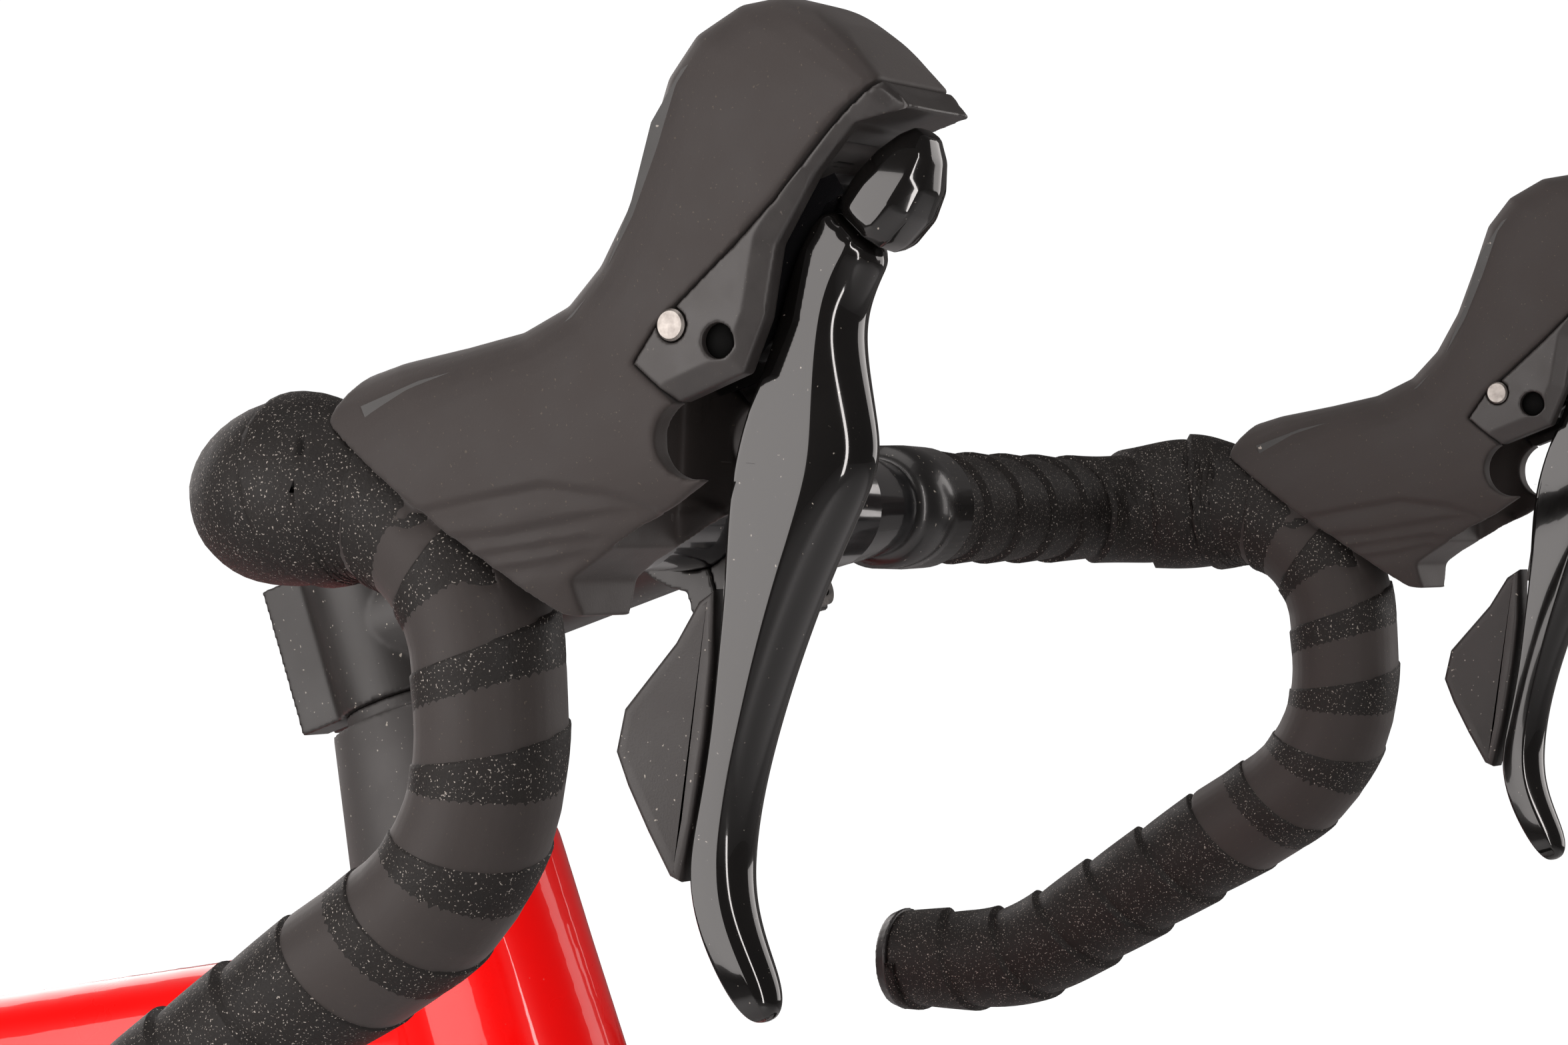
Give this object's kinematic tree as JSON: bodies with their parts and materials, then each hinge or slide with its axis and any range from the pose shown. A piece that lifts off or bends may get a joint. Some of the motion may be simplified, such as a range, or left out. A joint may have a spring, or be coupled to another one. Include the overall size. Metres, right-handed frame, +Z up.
{
  "type": "road bicycle",
  "caption": "Road bicycle with drop bar, hydraulic disc brakes, combined brake and gear levers, two chainrings and a rear cassette on a tubed frame.",
  "frame": {"origin": "on the ground, midway between the two axles, in the bicycle's centre plane", "axes": "+X forward, +Y to the rider's left, +Z up"},
  "size_m": [1.6619, 0.455, 1.0008],
  "materials": {
    "frame_red": "gloss",
    "bearing_steel": "satin",
    "black_alloy": "satin",
    "grey_alloy": "matte",
    "carbon_black": "gloss",
    "hood_rubber": "matte",
    "cover_plastic": "satin",
    "tape_cork": "matte",
    "tyre_rubber": "matte",
    "steel": "satin",
    "chain_steel": "satin",
    "saddle_cover": "matte",
    "bolt_steel": "satin",
    "paddle_plastic": "satin"
  },
  "bodies": {
    "frame": {"head_tube": "frame_red", "top_tube": "frame_red", "down_tube": "frame_red", "seat_tube": "frame_red", "bottom_bracket_shell": "frame_red", "chainstays": "frame_red", "seatstays": "frame_red", "frame_bearings": "bearing_steel", "seat_clamp": "black_alloy", "rear_thru_axle": "black_alloy", "rear_brake_caliper": "black_alloy", "rear_derailleur_knuckle": "black_alloy", "front_derailleur_body": "black_alloy"},
    "steering": {"fork_steerer": "carbon_black", "fork_blades": "frame_red", "headset_spacers": "grey_alloy", "stem": "grey_alloy", "stem_faceplate": "grey_alloy", "stem_bolts": "bolt_steel", "stem_top_cap": "black_alloy", "handlebar": "carbon_black", "bar_tape": "tape_cork", "bar_end_plugs": "cover_plastic", "lever_brackets": "cover_plastic", "lever_hoods": "hood_rubber", "lever_side_covers": "cover_plastic", "lever_pivot_pins": "steel", "front_brake_caliper": "black_alloy", "front_thru_axle": "black_alloy"},
    "right_pivot_block": {"right_lever_pivot": "carbon_black"},
    "left_pivot_block": {"left_lever_pivot": "carbon_black"},
    "right_blade": {"right_brake_lever": "carbon_black"},
    "left_blade": {"left_brake_lever": "carbon_black"},
    "right_paddle": {"right_shift_paddle": "paddle_plastic"},
    "left_paddle": {"left_shift_paddle": "paddle_plastic"},
    "front_wheel": {"front_rim": "carbon_black", "front_tyre": "tyre_rubber", "front_spokes": "steel", "front_hub": "black_alloy", "front_brake_rotor": "steel"},
    "rear_wheel": {"rear_rim": "carbon_black", "rear_tyre": "tyre_rubber", "rear_spokes": "steel", "rear_hub": "black_alloy", "rear_brake_rotor": "steel"},
    "crankset": {"right_crank": "black_alloy", "left_crank": "black_alloy", "chainrings": "black_alloy", "chain": "chain_steel"},
    "right_pedal_body": {"right_pedal": "black_alloy"},
    "left_pedal_body": {"left_pedal": "black_alloy"},
    "cassette_body": {"cassette": "steel"},
    "derailleur_link": {"rear_derailleur_link": "black_alloy"},
    "derailleur_body": {"rear_derailleur_body": "black_alloy"},
    "derailleur_cage": {"rear_derailleur_cage": "black_alloy"},
    "guide_pulley_body": {"guide_pulley": "cover_plastic"},
    "tension_pulley_body": {"tension_pulley": "cover_plastic"},
    "front_cage": {"front_derailleur_cage": "black_alloy"},
    "seat_assembly": {"seatpost": "black_alloy", "saddle": "saddle_cover"}
  },
  "joints": [
    {"name": "steering", "type": "hinge", "parent": "frame", "child": "steering", "pos_m": [0.45197, 0, 0.32284], "axis": [-0.2924, 0, 0.9563], "range_deg": [-60, 60]},
    {"name": "front_wheel_spin", "type": "hinge", "parent": "steering", "child": "front_wheel", "pos_m": [0.495, 0, 0.336], "axis": [0, 1, 0], "continuous": true},
    {"name": "rear_wheel_spin", "type": "hinge", "parent": "frame", "child": "rear_wheel", "pos_m": [-0.495, 0, 0.336], "axis": [0, 1, 0], "continuous": true},
    {"name": "crank_spin", "type": "hinge", "parent": "frame", "child": "crankset", "pos_m": [-0.09102, 0, 0.266], "axis": [0, 1, 0], "continuous": true, "deforming": ["chain"]},
    {"name": "cassette_spin", "type": "hinge", "parent": "frame", "child": "cassette_body", "pos_m": [-0.495, 0, 0.336], "axis": [0, 1, 0], "continuous": true},
    {"name": "right_pedal_spin", "type": "hinge", "parent": "crankset", "child": "right_pedal_body", "pos_m": [0.08148, -0.098, 0.266], "axis": [0, 1, 0], "continuous": true},
    {"name": "left_pedal_spin", "type": "hinge", "parent": "crankset", "child": "left_pedal_body", "pos_m": [-0.26352, 0.098, 0.266], "axis": [0, 1, 0], "continuous": true},
    {"name": "derailleur_shift", "type": "hinge", "parent": "frame", "child": "derailleur_link", "pos_m": [-0.49258, -0.06042, 0.28504], "axis": [0.866, 0, 0.5], "range_deg": [-20, 20]},
    {"name": "derailleur_parallel", "type": "hinge", "parent": "derailleur_link", "child": "derailleur_body", "pos_m": [-0.466, -0.078, 0.239], "axis": [0.866, 0, 0.5], "range_deg": [-20, 20]},
    {"name": "cage_pivot", "type": "hinge", "parent": "derailleur_body", "child": "derailleur_cage", "pos_m": [-0.485, -0.055, 0.2365], "axis": [0, 1, 0], "range_deg": [-30, 35], "stiffness_Nm_per_rad": 0.3},
    {"name": "guide_pulley_spin", "type": "hinge", "parent": "derailleur_cage", "child": "guide_pulley_body", "pos_m": [-0.485, -0.047, 0.2365], "axis": [0, 1, 0], "continuous": true},
    {"name": "tension_pulley_spin", "type": "hinge", "parent": "derailleur_cage", "child": "tension_pulley_body", "pos_m": [-0.47654, -0.047, 0.1771], "axis": [0, 1, 0], "continuous": true},
    {"name": "front_shift", "type": "hinge", "parent": "frame", "child": "front_cage", "pos_m": [-0.12362, -0.033, 0.39676], "axis": [1, 0, 0], "range_deg": [0, 8]},
    {"name": "saddle_height", "type": "slide", "parent": "frame", "child": "seat_assembly", "axis": [-0.284, 0, 0.9588], "range_m": [-0.06, 0.05]},
    {"name": "right_brake_pull", "type": "hinge", "parent": "steering", "child": "right_pivot_block", "pos_m": [0.51291, -0.21, 0.94125], "axis": [0, 1, 0], "range_deg": [0, 10], "stiffness_Nm_per_rad": 1.2, "springref_deg": -5.73},
    {"name": "right_blade_swing", "type": "hinge", "parent": "right_pivot_block", "child": "right_blade", "pos_m": [0.55091, -0.21, 0.95825], "axis": [0.7071, 0, 0.7071], "range_deg": [0, 9], "stiffness_Nm_per_rad": 0.8, "springref_deg": -2.86},
    {"name": "right_shift_press", "type": "hinge", "parent": "right_blade", "child": "right_paddle", "pos_m": [0.51891, -0.21, 0.90825], "axis": [-0.1202, 0, -0.9928], "range_deg": [0, 10], "stiffness_Nm_per_rad": 0.2, "springref_deg": -2.86},
    {"name": "left_brake_pull", "type": "hinge", "parent": "steering", "child": "left_pivot_block", "pos_m": [0.51291, 0.21, 0.94125], "axis": [0, 1, 0], "range_deg": [0, 10], "stiffness_Nm_per_rad": 1.2, "springref_deg": -5.73},
    {"name": "left_blade_swing", "type": "hinge", "parent": "left_pivot_block", "child": "left_blade", "pos_m": [0.55091, 0.21, 0.95825], "axis": [-0.7071, 0, -0.7071], "range_deg": [0, 9], "stiffness_Nm_per_rad": 0.8, "springref_deg": -2.86},
    {"name": "left_shift_press", "type": "hinge", "parent": "left_blade", "child": "left_paddle", "pos_m": [0.51891, 0.21, 0.90825], "axis": [0.1202, 0, 0.9928], "range_deg": [0, 10], "stiffness_Nm_per_rad": 0.2, "springref_deg": -2.86}
  ],
  "couplings": [
    {"joint": "cassette_spin", "follows": "crank_spin", "ratio": 2.9412},
    {"joint": "guide_pulley_spin", "follows": "crank_spin", "ratio": -4.1667},
    {"joint": "tension_pulley_spin", "follows": "crank_spin", "ratio": 4.1667},
    {"joint": "derailleur_parallel", "follows": "derailleur_shift", "ratio": -1}
  ]
}
